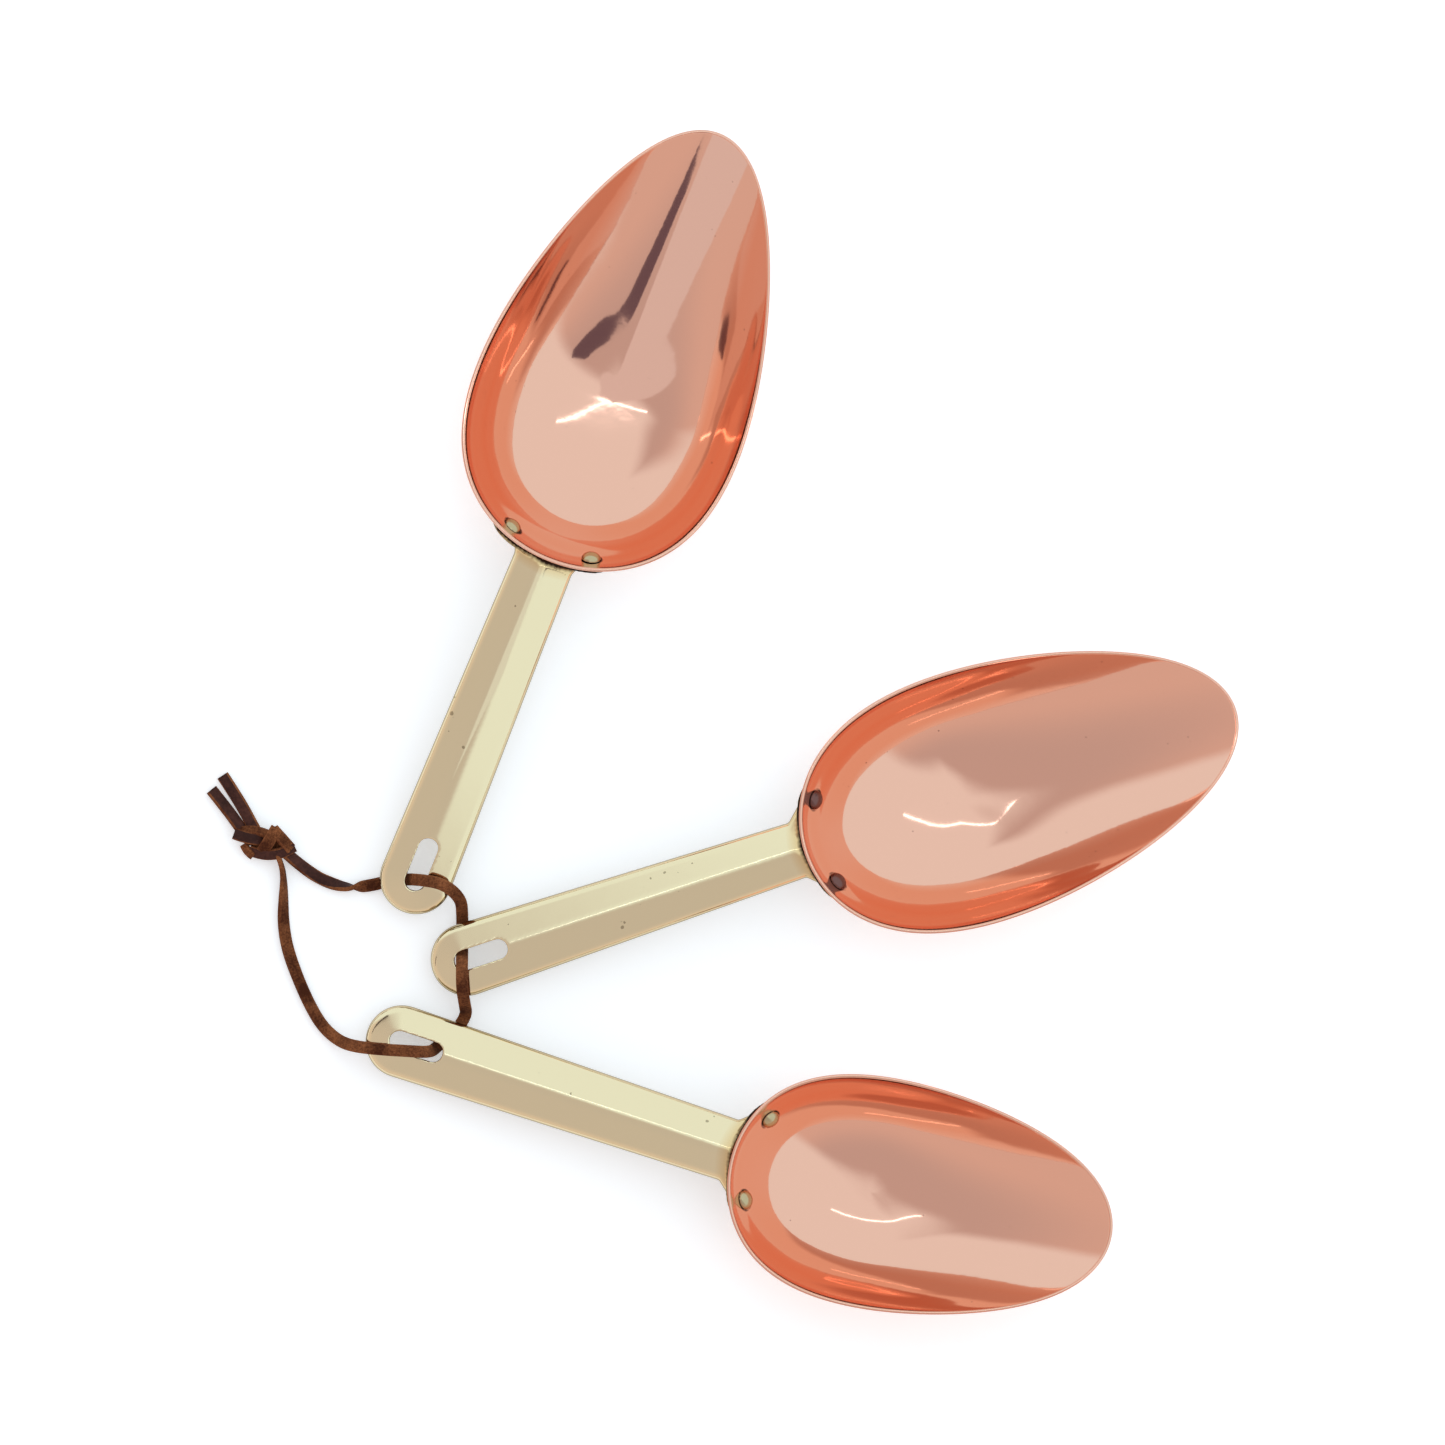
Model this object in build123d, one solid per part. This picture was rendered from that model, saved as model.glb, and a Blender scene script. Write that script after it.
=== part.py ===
from build123d import *
from dataclasses import dataclass
from math import asin, cos, degrees, hypot, pi, radians, sin, tan
import os

# Set of three copper measuring scoops with brass handles on a knotted suede lace.
#
# Units are millimetres. The set lies on the plane z = 0, with +Z up and +Y towards the tip of the
# largest scoop. Each scoop is drawn in a frame of its own, rim plane at z = 0, rear of the rim at
# the origin and the pouring tip along +X, and is then set down on its round bottom beside the others.

# Sheet metal
COPPER_SHEET = 1.0
BRASS_SHEET = 1.3
SEAT_GAP = 0.15            # between a bowl and the flange riveted to it

# Pressed brass handle, a channel that is open below
HANDLE_END_HALF_WIDTH = 11.1
HANDLE_HEIGHT = 7.0
FACET_DROP = 2.7           # from the ridge to the edge of its two facets
RIDGE_RADIUS = 7.0
SHOULDER_RADIUS = 2.6
HANDLE_SLOPE = 2.0         # degrees, end of the handle below the rim plane
RIDGE_BELOW_RIM = 1.0
SLOT_WIDTH = 6.0
SLOT_LENGTH = 16.8
SLOT_FROM_END = 7.7

# Flange that is bent down against the outside of the bowl
FLANGE_HEIGHT = 12.4
FLANGE_SINK = 1.2          # of the ridge, from the neck to the flange
SKIRT_DEEPENING = 4.0      # of the channel's sides, from the neck to the flange
BEND_RADIUS = 3.2          # of the sheet's outside, from the top of the handle to the flange

# Rivets
RIVET_SPACING = 26.5
RIVET_DROP = 8.3           # below the rim
SHANK_RADIUS = 1.7
SHANK_CLEARANCE = 0.05
HEAD_RADIUS = 2.95
HEAD_HEIGHT = 2.1
TAIL_RADIUS = 2.2
TAIL_HEIGHT = 1.4
TAIL_CHAMFER = 0.5
TAIL_CLEARANCE = 0.3       # of a tail in the channel's corner

# Suede lace: the tube has the section of the flat lace
LACE_WIDTH = 3.6
LACE_THICKNESS = 1.5
LACE_DIAMETER = 2 * (LACE_WIDTH * LACE_THICKNESS / pi) ** 0.5
LACE_UNDER_HANDLE = 0.6    # clearance of a handle over the lace that runs under its edge
HANDLE_OFF_FLOOR = LACE_DIAMETER + LACE_UNDER_HANDLE
KNOT_LENGTH = 18.0
KNOT_WIDTH = 10.5
KNOT_HEIGHT = 7.0

RIM_POINTS = 14            # on each closed curve of a bowl
BOWL_LEVELS = (1.0, 0.96, 0.87, 0.72, 0.5, 0.25)
BEND_LEVELS = (0.0, 0.35, 0.65, 0.85, 1.0)
OVERCUT = 1.0
HOLE_REACH = 8.0
CORNER_FILL = 0.3          # in the corner between the handle's top and the flange


@dataclass(frozen=True)
class Bowl:
    """An egg-shaped scoop bowl, blunt at the rear and narrower at the pouring tip."""

    length: float
    middle_half_width: float
    egg: float             # how far the rim is wider to the rear
    bluntness: float       # how square its two ends are
    depth: float
    deepest_at: float      # from the rear
    rear_curve: tuple      # how flat the bottom is, and how upright the wall ends, each way
    side_curve: tuple
    tip_curve: tuple

    def rim_point(self, turn, grown=0.0):
        """Point of the rim at a turn of 0 to 360 degrees round it, from the rear."""
        along, across = cos(radians(turn)), sin(radians(turn))
        half_width = (self.middle_half_width + grown) * across
        x = self.length / 2 - (self.length / 2 + grown) * along
        return x, half_width * (1 + self.egg * along + self.bluntness * along**2)

    def curve(self, turn):
        """Exponents of the wall's profile at a turn: flatness of the bottom, uprightness."""
        x, y = self.rim_point(turn)
        rearward = (self.deepest_at - x) / hypot(x - self.deepest_at, y)
        end_curve = self.rear_curve if rearward > 0 else self.tip_curve
        return [side + (end - side) * rearward**2 for side, end in zip(self.side_curve, end_curve)]

    def wall_point(self, turn, share, grown=0.0):
        """Point of the outside, share 1 at the rim and 0 at the deepest point."""
        x, y = self.rim_point(turn, grown)
        flatness, uprightness = self.curve(turn)
        sink = (1 - share**flatness) ** uprightness
        return (
            self.deepest_at + share * (x - self.deepest_at),
            share * y,
            -sink * (self.depth + grown),
        )

    def level_point(self, turn, drop, grown=0.0):
        """Point of the outside at a drop below the rim, moved outwards level by grown."""
        flatness, uprightness = self.curve(turn)
        share = (1 - (drop / self.depth) ** (1 / uprightness)) ** (1 / flatness)
        x, y = self.rim_point(turn, grown / share)
        return self.deepest_at + share * (x - self.deepest_at), share * y, -drop

    def ring(self, point, *sizes):
        """Closed curve round the bowl through point(turn, *sizes)."""
        points = [point(360 * i / RIM_POINTS, *sizes) for i in range(RIM_POINTS)]
        return Wire([Edge.make_spline([Vector(*p) for p in points], periodic=True)])

    def solid(self, grown=0.0):
        """The bowl as a full block, its outside moved outwards by grown."""
        rings = [self.ring(self.wall_point, share, grown) for share in BOWL_LEVELS]
        return Solid.make_loft([*rings, Vertex(self.deepest_at, 0, -(self.depth + grown))])

    def groove(self, radius, gap):
        """Space between the bowl and a sheet that bends down onto it with this outer radius."""
        rings = [
            self.ring(self.level_point, radius * (1 - rise), gap + radius * (1 - (1 - rise**2) ** 0.5))
            for rise in BEND_LEVELS
        ]
        top = rings[-1].translate((0, 0, OVERCUT))
        return Solid.make_loft(rings) + Solid.make_loft([rings[-1], top])


@dataclass(frozen=True)
class Handle:
    """Sizes of one handle, measured back from the rim that it is riveted to."""

    length: float
    neck_half_width: float
    neck_start: float      # where the sides begin to flare out to the flange
    flare_half_width: float
    flare_reach: float     # of the flare, forward of the rear of the rim
    offset: float          # sideways from the middle of the bowl
    turn: float            # degrees, against the middle line of the bowl
    lace_from_end: float   # where the lace comes up through the slot


@dataclass(frozen=True)
class Scoop:
    """One measuring scoop, and where it lies in the set."""

    name: str
    bowl: Bowl
    handle: Handle
    heading: float         # degrees from +X, of the bowl's middle line
    lace_point: tuple      # where the lace comes up through the slot


SCOOPS = (
    Scoop(
        "large",
        Bowl(140.6, 40.3, 0.310, 0.105, 31.0, 49.0, (4.2, 0.70), (3.0, 0.72), (1.8, 1.0)),
        Handle(117.0, 9.4, 2.0, 11.2, 2.5, 1.0, 0.0, 11.3),
        68.0,
        (-116.6, -47.8),
    ),
    Scoop(
        "medium",
        Bowl(138.5, 37.8, 0.206, 0.086, 28.0, 46.0, (3.4, 0.78), (3.0, 0.74), (1.8, 1.0)),
        Handle(120.0, 8.8, 2.5, 17.8, 7.0, 1.7, -0.3, 10.7),
        18.6,
        (-101.9, -72.4),
    ),
    Scoop(
        "small",
        Bowl(118.4, 34.6, 0.186, 0.143, 26.0, 42.0, (3.0, 0.82), (2.9, 0.76), (1.8, 1.0)),
        Handle(117.7, 9.7, 1.5, 17.0, 7.0, 4.7, -7.9, 21.3),
        -10.4,
        (-111.6, -100.1),
    ),
)


def channel_section(x, half_width, height, ridge, inset):
    """Cross-section of the channel at x: two facets off a soft ridge, with turned-down edges."""
    half = half_width - inset
    top = ridge - inset
    edge = top - FACET_DROP
    bottom = ridge - height - (OVERCUT if inset else 0)
    outline = make_face(
        Polyline((-half, bottom), (-half, edge), (0, top), (half, edge), (half, bottom), close=True)
    )
    outline = fillet(outline.vertices().sort_by(Axis.Y)[2:4], SHOULDER_RADIUS - inset / 2)
    outline = fillet(outline.vertices().sort_by(Axis.Y)[-1], RIDGE_RADIUS)
    return Plane(origin=(x, 0, 0), x_dir=(0, 1, 0), z_dir=(1, 0, 0)) * outline


def channel(handle, inset=0.0):
    """Outer form of the channel, or its hollow when inset by the sheet, in the handle's frame."""
    round_at = HANDLE_END_HALF_WIDTH - handle.length
    end = channel_section(round_at, HANDLE_END_HALF_WIDTH, HANDLE_HEIGHT, 0, inset)
    neck = channel_section(-handle.neck_start, handle.neck_half_width, HANDLE_HEIGHT, 0, inset)
    one_side = Pos(round_at, HANDLE_END_HALF_WIDTH, 0) * Box(
        OVERCUT, 2 * HANDLE_END_HALF_WIDTH, 4 * HANDLE_HEIGHT
    )
    dome = revolve(end & one_side, Axis((round_at, 0, 0), (0, 0, 1)), 180)
    flare = channel_section(
        handle.flare_reach, handle.flare_half_width, HANDLE_HEIGHT + SKIRT_DEEPENING, -FLANGE_SINK, inset
    )
    return loft([end, neck], ruled=True) + dome + loft([neck, flare], ruled=True)


def handle_frame(handle):
    """Where the handle leaves the bowl, in the scoop's frame."""
    return Pos(0, handle.offset, -RIDGE_BELOW_RIM) * Rot(Z=handle.turn) * Rot(Y=-HANDLE_SLOPE)


def flange_form(scoop):
    """Outline of the flange, an ear round each rivet, driven through the rear of the bowl."""
    ears = SlotCenterToCenter(RIVET_SPACING, FLANGE_HEIGHT)
    behind = Plane(origin=(0, 0, -RIVET_DROP), x_dir=(0, 1, 0), z_dir=(1, 0, 0))
    prism = extrude(behind * ears, amount=scoop.bowl.deepest_at / 2, both=True)
    return Pos(0, scoop.handle.offset, 0) * Rot(Z=scoop.handle.turn) * prism


def rivet_planes(scoop, block):
    """Plane at each rivet on the outside of the bowl, its z axis pointing outwards."""
    place = Pos(0, scoop.handle.offset, -RIVET_DROP) * Rot(Z=scoop.handle.turn)
    forward = Vector(1, 0, 0).rotate(Axis.Z, scoop.handle.turn)
    planes = []
    for side in (1, -1):
        start = (place * Pos(-scoop.bowl.deepest_at, side * RIVET_SPACING / 2, 0)).position
        point, normal = block.shell().find_intersection_points(Axis(start, forward))[0]
        planes.append(Plane(origin=point, z_dir=normal))
    return planes


def rivet(plane, hollow, flange_outside):
    """Domed head inside the bowl, shank through both sheets and upset tail outside."""
    dome = scale(Sphere(HEAD_RADIUS), by=(1, 1, HEAD_HEIGHT / HEAD_RADIUS))
    head = (plane * Pos(0, 0, -COPPER_SHEET) * dome) & hollow
    tail_end = SEAT_GAP + BRASS_SHEET + TAIL_HEIGHT
    shank_start = -COPPER_SHEET - HEAD_HEIGHT / 2
    shank = plane * Pos(0, 0, (tail_end + shank_start) / 2) * Cylinder(
        SHANK_RADIUS, tail_end - shank_start
    )
    tail = Pos(0, 0, tail_end - TAIL_HEIGHT) * Cylinder(TAIL_RADIUS, 2 * TAIL_HEIGHT)
    tail = chamfer(tail.edges().sort_by(Axis.Z)[-1], TAIL_CHAMFER)
    return head + shank + (plane * tail - flange_outside)


def scoop_solids(scoop):
    """Bowl, handle and two rivets of a scoop, in its own frame."""
    block = scoop.bowl.solid()
    hollow = scoop.bowl.solid(-COPPER_SHEET)
    flange_outside = scoop.bowl.solid(SEAT_GAP + BRASS_SHEET)
    planes = rivet_planes(scoop, block)
    holes = [plane * Cylinder(SHANK_RADIUS + SHANK_CLEARANCE, HOLE_REACH) for plane in planes]
    pockets = [
        plane * Pos(0, 0, HOLE_REACH / 2) * Cylinder(TAIL_RADIUS + TAIL_CLEARANCE, 2 * HOLE_REACH)
        for plane in planes
    ]

    frame = handle_frame(scoop.handle)
    slot = Pos(SLOT_FROM_END + SLOT_LENGTH / 2 - scoop.handle.length, 0, 0) * extrude(
        SlotOverall(SLOT_LENGTH, SLOT_WIDTH), amount=HANDLE_HEIGHT, both=True
    )
    end_wall = scoop.bowl.solid(SEAT_GAP + BRASS_SHEET + CORNER_FILL)
    flange = (flange_form(scoop) & flange_outside) - holes
    form = (frame * (channel(scoop.handle) - slot) - pockets) + flange
    inside = frame * channel(scoop.handle, BRASS_SHEET) - end_wall
    groove = scoop.bowl.groove(BEND_RADIUS, SEAT_GAP)
    handle = form - inside - scoop.bowl.solid(SEAT_GAP) - groove

    bowl = block - hollow - holes
    return [bowl, handle] + [rivet(plane, hollow, flange_outside) for plane in planes]


def rest_pitch(scoop):
    """Nose-up angle at which the bowl rests on the floor with the lace under the handle's end."""
    back = scoop.handle.length
    rise = scoop.bowl.depth - RIDGE_BELOW_RIM - back * sin(radians(HANDLE_SLOPE)) - HANDLE_HEIGHT
    reach = hypot(scoop.bowl.deepest_at + back, rise)
    return degrees(asin(rise / reach) - asin(HANDLE_OFF_FLOOR / reach))


def set_down(scoop, block):
    """Place of a scoop in the set, with its round bottom on the floor."""
    tilt = Rot(Z=scoop.heading) * Rot(Y=-rest_pitch(scoop))
    lowest = (tilt * block).bounding_box().min.Z
    slot_point = handle_frame(scoop.handle) * Pos(scoop.handle.lace_from_end - scoop.handle.length, 0, 0)
    lace_at = (tilt * slot_point).position
    return Pos(scoop.lace_point[0] - lace_at.X, scoop.lace_point[1] - lace_at.Y, -lowest) * tilt


# Route of the lace from the knot, under an edge, up through the slot and over the other edge of
# each handle, and back to the knot
LACE_ROUTE = (
    (-155.9, -39.8, 3.2),
    (-151.0, -44.0, 1.6),
    (-145.0, -48.0, 1.4),
    (-137.7, -50.4, 1.4),
    (-131.0, -49.8, 1.4),
    (-124.9, -48.3, 1.4),
    (-120.4, -47.8, 2.4),
    (-115.8, -47.8, 15.3),
    (-107.9, -49.1, 15.0),
    (-102.8, -53.6, 10.6),
    (-102.4, -58.3, 1.9),
    (-102.4, -62.5, 1.4),
    (-102.4, -67.4, 2.2),
    (-102.5, -73.8, 14.1),
    (-102.5, -80.9, 13.2),
    (-101.6, -86.0, 8.8),
    (-101.1, -88.8, 1.8),
    (-103.9, -93.3, 1.4),
    (-110.0, -98.5, 2.4),
    (-112.0, -100.3, 13.9),
    (-118.8, -99.9, 13.6),
    (-127.4, -99.4, 12.0),
    (-135.9, -98.4, 8.8),
    (-140.4, -96.5, 2.0),
    (-145.0, -92.3, 1.4),
    (-148.9, -85.6, 1.4),
    (-152.6, -77.1, 1.4),
    (-155.6, -68.6, 1.4),
    (-156.8, -60.7, 1.4),
    (-156.7, -54.0, 1.4),
    (-156.6, -47.6, 1.6),
    (-157.3, -43.0, 2.6),
    (-159.0, -39.2, 3.4),
)
LONG_TAIL_ROUTE = (
    (-164.4, -34.6, 3.6),
    (-167.0, -29.6, 2.2),
    (-170.6, -23.2, 1.4),
    (-175.2, -16.2, 1.4),
)
SHORT_TAIL_ROUTE = (
    (-167.3, -35.6, 3.4),
    (-170.4, -31.2, 2.0),
    (-174.2, -26.0, 1.4),
    (-178.6, -20.5, 1.4),
)
KNOT_CENTRE = (-162.3, -36.6)
KNOT_HEADING = -10.0


def corner_radii(route):
    """Radius at each inner point of a route, as large as its two runs allow."""
    radii = []
    for before, here, after in zip(route, route[1:], route[2:]):
        arrive, leave = Vector(*here) - Vector(*before), Vector(*after) - Vector(*here)
        half_turn = radians(arrive.get_angle(leave)) / 2
        radii.append(0.45 * min(arrive.length, leave.length) / tan(half_turn))
    return radii


def lace(route):
    """Tube along a route of straight runs joined by tangent arcs."""
    radii = corner_radii(route)
    path = FilletPolyline(*route, radius=radii)
    section = Plane(origin=path @ 0, z_dir=path % 0) * Circle(LACE_DIAMETER / 2)
    tube = sweep(section, path=path)
    print(f"  length {path.length:.1f}, smallest radius {min(radii):.1f} of", [round(r, 1) for r in radii])
    print(f"  volume over section times length {tube.volume / section.area / path.length:.4f}")
    return tube


def knot():
    """Overhand knot of both strands, drawn tight: a long ball that rests on the floor."""
    ball = scale(Sphere(1), by=(KNOT_LENGTH / 2, KNOT_WIDTH / 2, KNOT_HEIGHT / 2))
    return Pos(*KNOT_CENTRE, KNOT_HEIGHT / 2) * Rot(Z=KNOT_HEADING) * ball


def main():
    os.makedirs("parts", exist_ok=True)
    for scoop in SCOOPS:
        place = set_down(scoop, scoop.bowl.solid())
        names = ("bowl", "handle", "rivet_left", "rivet_right")
        print(scoop.name, f"pitch {rest_pitch(scoop):.2f}")
        for name, solid in zip(names, scoop_solids(scoop)):
            export_step(place * solid, f"parts/{scoop.name}_{name}.step")
    lace_knot = knot()
    export_step(lace_knot, "parts/lace_knot.step")
    for name, route in (
        ("lace_loop", LACE_ROUTE),
        ("lace_tail_long", LONG_TAIL_ROUTE),
        ("lace_tail_short", SHORT_TAIL_ROUTE),
    ):
        print(name)
        export_step(lace(route) - lace_knot, f"parts/{name}.step")


main()
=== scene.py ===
"""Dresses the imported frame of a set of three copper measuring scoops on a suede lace.

The frame's rivets are kept and shaded. The bowls are built again as finely curved sheets of the
same size, the handles get the soft edges of pressed and polished brass, and the lace becomes the
flat twisting strip that it is, tied in a knot.
"""

import logging
import math
from dataclasses import dataclass, field
from enum import Enum
from typing import Any, Sequence

import bpy
import numpy as np
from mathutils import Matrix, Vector
from mathutils.kdtree import KDTree


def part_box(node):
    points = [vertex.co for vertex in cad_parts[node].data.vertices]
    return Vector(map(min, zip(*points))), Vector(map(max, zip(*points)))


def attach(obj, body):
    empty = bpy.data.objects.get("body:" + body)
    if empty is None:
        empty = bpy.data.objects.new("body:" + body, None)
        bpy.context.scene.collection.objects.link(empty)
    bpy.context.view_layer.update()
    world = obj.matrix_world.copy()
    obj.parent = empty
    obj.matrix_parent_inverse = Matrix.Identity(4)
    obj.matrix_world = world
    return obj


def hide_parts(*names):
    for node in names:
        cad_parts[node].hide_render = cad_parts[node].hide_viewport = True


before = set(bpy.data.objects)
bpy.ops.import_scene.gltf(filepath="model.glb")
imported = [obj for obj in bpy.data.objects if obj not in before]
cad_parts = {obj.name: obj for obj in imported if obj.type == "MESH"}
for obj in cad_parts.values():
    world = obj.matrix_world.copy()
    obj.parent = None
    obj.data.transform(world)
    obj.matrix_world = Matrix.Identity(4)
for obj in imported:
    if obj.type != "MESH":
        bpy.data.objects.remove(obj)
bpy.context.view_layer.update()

log = logging.getLogger("measuring_cup_set")

MM = 0.001
NEARNESS = "nearness"
CROWN = "crown"
TABLE_GAP = 0.02 * MM
SMOOTHING = 0.5
WHITE = (1.0, 1.0, 1.0, 1.0)

Points = np.ndarray
Place = tuple[float, float, float]
Range = tuple[float, float]
Colour = tuple[float, float, float, float]
Tree = bpy.types.NodeTree
Socket = bpy.types.NodeSocket


# ----------------------------------------------------------
# Tools
# ----------------------------------------------------------


def linear(colour: str) -> Colour:
    """Turn an sRGB hex colour into linear light.

    Args:
        colour: six hex digits after a hash, such as "#c07f5a".

    Returns:
        Red, green and blue from 0 to 1 in linear light, and an alpha of 1.
    """
    channels = [int(colour[i : i + 2], 16) / 255 for i in (1, 3, 5)]
    red, green, blue = (
        c / 12.92 if c <= 0.04045 else ((c + 0.055) / 1.055) ** 2.4 for c in channels
    )
    return red, green, blue, 1.0


def add_node(
    tree: Tree,
    kind: str,
    settings: dict[str, Any] | None = None,
    inputs: dict[str | int, Any] | None = None,
) -> bpy.types.Node:
    """Add a shader node with its settings and links.

    Args:
        tree: node tree that gets the node.
        kind: Blender's name of the node type.
        settings: values of the node's own properties.
        inputs: for each input, by name or number, a plain value or the output to link to it.

    Returns:
        The new node.
    """
    node = tree.nodes.new(kind)
    for name, value in (settings or {}).items():
        setattr(node, name, value)
    for socket, value in (inputs or {}).items():
        if isinstance(value, Socket):
            tree.links.new(value, node.inputs[socket])
        else:
            node.inputs[socket].default_value = value
    return node


def calculate(tree: Tree, operation: str, *values: float | Socket) -> Socket:
    """Work out a sum in a material.

    Args:
        tree: node tree that gets the node.
        operation: Blender's name of the sum.
        values: what goes into the sum, in its order.

    Returns:
        The result.
    """
    node = add_node(tree, "ShaderNodeMath", {"operation": operation}, dict(enumerate(values)))
    return node.outputs[0]


def blend(tree: Tree, share: Socket, first: Colour | Socket, second: Colour | Socket) -> Socket:
    """Blend two colours.

    Args:
        tree: node tree that gets the node.
        share: how much of the second colour shows, from 0 to 1.
        first: the first colour, in linear light.
        second: the second colour, in linear light.

    Returns:
        The blended colour.
    """
    inputs = {"Factor": share, "A": first, "B": second}
    return add_node(tree, "ShaderNodeMix", {"data_type": "RGBA"}, inputs).outputs["Result"]


def rescale(
    tree: Tree, value: Socket, edges: Range, ends: Range = (0.0, 1.0), ease: bool = False
) -> Socket:
    """Turn a value that runs between two edges into one that runs between two ends.

    Args:
        tree: node tree that gets the node.
        value: the value. Beyond an edge, the result stays at that edge's end.
        edges: values at which the result starts and stops changing. They may run downwards.
        ends: the result at each edge.
        ease: whether the change starts and stops softly.

    Returns:
        The new value.
    """
    (low, high), (start, end) = edges, ends
    node = add_node(
        tree,
        "ShaderNodeMapRange",
        {"interpolation_type": "SMOOTHSTEP" if ease else "LINEAR"},
        {"Value": value, "From Min": low, "From Max": high, "To Min": start, "To Max": end},
    )
    return node.outputs["Result"]


def noise(tree: Tree, place: Socket, feature_mm: float, detail: float, rough: float = 0.5) -> Socket:
    """Uneven pattern from 0 to 1.

    Args:
        tree: node tree that gets the node.
        place: place in the object's own space.
        feature_mm: real size of a feature of the pattern.
        detail: how many finer patterns lie on it.
        rough: how strong the finer patterns are.

    Returns:
        The pattern's value.
    """
    inputs = {"Vector": place, "Scale": per_metre(feature_mm), "Detail": detail, "Roughness": rough}
    return add_node(tree, "ShaderNodeTexNoise", inputs=inputs).outputs["Fac"]


def bump(tree: Tree, pattern: Socket, height_mm: float, below: Socket | None = None) -> Socket:
    """Raise a pattern on a surface.

    Args:
        tree: node tree that gets the node.
        pattern: the pattern, from 0 to 1.
        height_mm: real height of the pattern.
        below: direction of the surface under it, where that is uneven too.

    Returns:
        Direction of the raised surface.
    """
    inputs = {"Strength": 1.0, "Distance": height_mm * MM, "Height": pattern}
    if below is not None:
        inputs["Normal"] = below
    return add_node(tree, "ShaderNodeBump", inputs=inputs).outputs["Normal"]


def facing_up(tree: Tree) -> Socket:
    """How far the surface faces up: 1 where it is level, 0 where it is upright."""
    normal = add_node(tree, "ShaderNodeNewGeometry").outputs["Normal"]
    return add_node(tree, "ShaderNodeSeparateXYZ", inputs={"Vector": normal}).outputs["Z"]


def own_place(tree: Tree) -> Socket:
    """Place in the object's own space."""
    return add_node(tree, "ShaderNodeTexCoord").outputs["Object"]


def new_material(name: str, empty: bool = False) -> bpy.types.Material:
    """Make a node material.

    Args:
        name: name of the material.
        empty: whether it starts without its usual shader.

    Returns:
        The new material.
    """
    made = bpy.data.materials.new(name)
    made.use_nodes = True
    if empty:
        made.node_tree.nodes.clear()
    return made


def per_metre(millimetres: float) -> float:
    """Scale of a pattern in object space whose feature has this real size."""
    return 1.0 / (millimetres * MM)


def new_object(name: str, data: bpy.types.ID) -> bpy.types.Object:
    """Make an object of a mesh, a lamp or a camera and put it in the scene."""
    made = bpy.data.objects.new(name, data)
    bpy.context.scene.collection.objects.link(made)
    return made


def new_mesh_object(name: str, points: Points, faces: Sequence[Sequence[int]]) -> bpy.types.Object:
    """Make a smooth-shaded mesh object in the scene.

    Args:
        name: name of the object and its mesh.
        points: vertices in metres, in the row frame.
        faces: vertex numbers of each face.

    Returns:
        The new object.
    """
    mesh = bpy.data.meshes.new(name)
    mesh.from_pydata([tuple(p) for p in points], [], [tuple(f) for f in faces])
    mesh.validate()
    mesh.shade_smooth()
    return new_object(name, mesh)


def strip_faces(rows: int, columns: int, closed: bool = True) -> list[tuple[int, int, int, int]]:
    """Quads between neighbouring rows of points.

    Args:
        rows: number of rows.
        columns: points in each row.
        closed: whether the last column joins the first.

    Returns:
        Four vertex numbers for each quad.
    """
    faces = []
    for row in range(rows - 1):
        for column in range(columns if closed else columns - 1):
            beside = (column + 1) % columns
            here, above = row * columns, (row + 1) * columns
            faces.append((here + column, here + beside, above + beside, above + column))
    return faces


def corners_of(mesh: bpy.types.Mesh) -> Points:
    """Places of a mesh's vertices, in metres."""
    flat = np.empty(len(mesh.vertices) * 3, dtype=np.float32)
    mesh.vertices.foreach_get("co", flat)
    return flat.reshape(-1, 3)


def search_tree(points: Points) -> KDTree:
    """Tree that finds the nearest of these points."""
    tree = KDTree(len(points))
    for number, point in enumerate(points):
        tree.insert(point, number)
    tree.balance()
    return tree


def mark_nearness(piece: bpy.types.Object, others: Points, reach_mm: float) -> None:
    """Store on a piece how near it comes to its neighbours, for the painted shade in the joint and the
    painted reflection of neighbouring metal.

    Args:
        piece: the piece, whose mesh gets the attribute NEARNESS.
        others: points of the neighbouring pieces, in metres.
        reach_mm: distance at which the attribute falls from 1 to 0.
    """
    reach = reach_mm * MM
    own = corners_of(piece.data)
    tree = search_tree(others)
    low, high = others.min(axis=0) - reach, others.max(axis=0) + reach
    close = np.flatnonzero(((own > low) & (own < high)).all(axis=1))
    nearness = np.zeros(len(own), dtype=np.float32)
    for number in close:
        nearness[number] = max(0.0, 1 - tree.find(own[number])[2] / reach)
    piece.data.attributes.new(NEARNESS, "FLOAT", "POINT").data.foreach_set("value", nearness)


def turned(points: Points, axis: str, degrees: float) -> Points:
    """Points turned about a row axis through the origin, by the right-hand rule."""
    c, s = math.cos(math.radians(degrees)), math.sin(math.radians(degrees))
    matrix = {
        "Z": np.array([[c, -s, 0], [s, c, 0], [0, 0, 1]]),
        "Y": np.array([[c, 0, s], [0, 1, 0], [-s, 0, c]]),
    }[axis]
    return points @ matrix.T


# ----------------------------------------------------------
# Finishes
# ----------------------------------------------------------


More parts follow.
